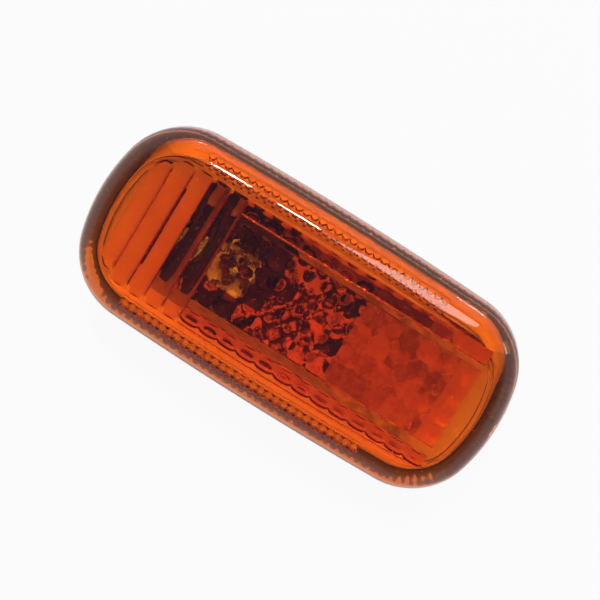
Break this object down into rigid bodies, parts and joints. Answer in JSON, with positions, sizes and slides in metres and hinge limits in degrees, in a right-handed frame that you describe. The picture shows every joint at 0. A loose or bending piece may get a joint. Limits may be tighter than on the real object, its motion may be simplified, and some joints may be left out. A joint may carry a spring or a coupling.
{
  "type": "side repeater lamp",
  "caption": "Amber side repeater lamp: rounded lens with flutes and pillow optics on a snap-in housing, with a wedge bulb in a twist-in holder behind.",
  "frame": {"origin": "centre of the panel's cut-out at the panel's face, which the underside of the gasket rests on", "axes": "+Z out of the panel through the lens, +X along the lamp from the fluted end and the hook towards the spring clip, +Y across"},
  "size_m": [0.08, 0.0376, 0.0447],
  "materials": {
    "amber_lens": "clear amber acrylic, polished outside",
    "black_sealant": "butyl bead, satin",
    "housing_plastic": "fine moulded grain",
    "gasket_foam": "closed-cell foam",
    "spring_steel": "zinc-plated strip",
    "clear_glass": "clear",
    "filament_metal": "drawn wire",
    "lead_metal": "drawn wire",
    "holder_plastic": "fine moulded grain",
    "seal_rubber": "smooth",
    "contact_brass": "stamped strip"
  },
  "bodies": {
    "root": {"lens": "amber_lens", "sealant": "black_sealant", "housing": "housing_plastic", "gasket": "gasket_foam", "spring_clip": "spring_steel", "bulb_glass": "clear_glass", "bulb_filament": "filament_metal", "bulb_lead_left": "lead_metal", "bulb_lead_right": "lead_metal", "bulb_holder": "holder_plastic", "holder_seal": "seal_rubber", "contact_left": "contact_brass", "contact_right": "contact_brass"}
  },
  "joints": []
}
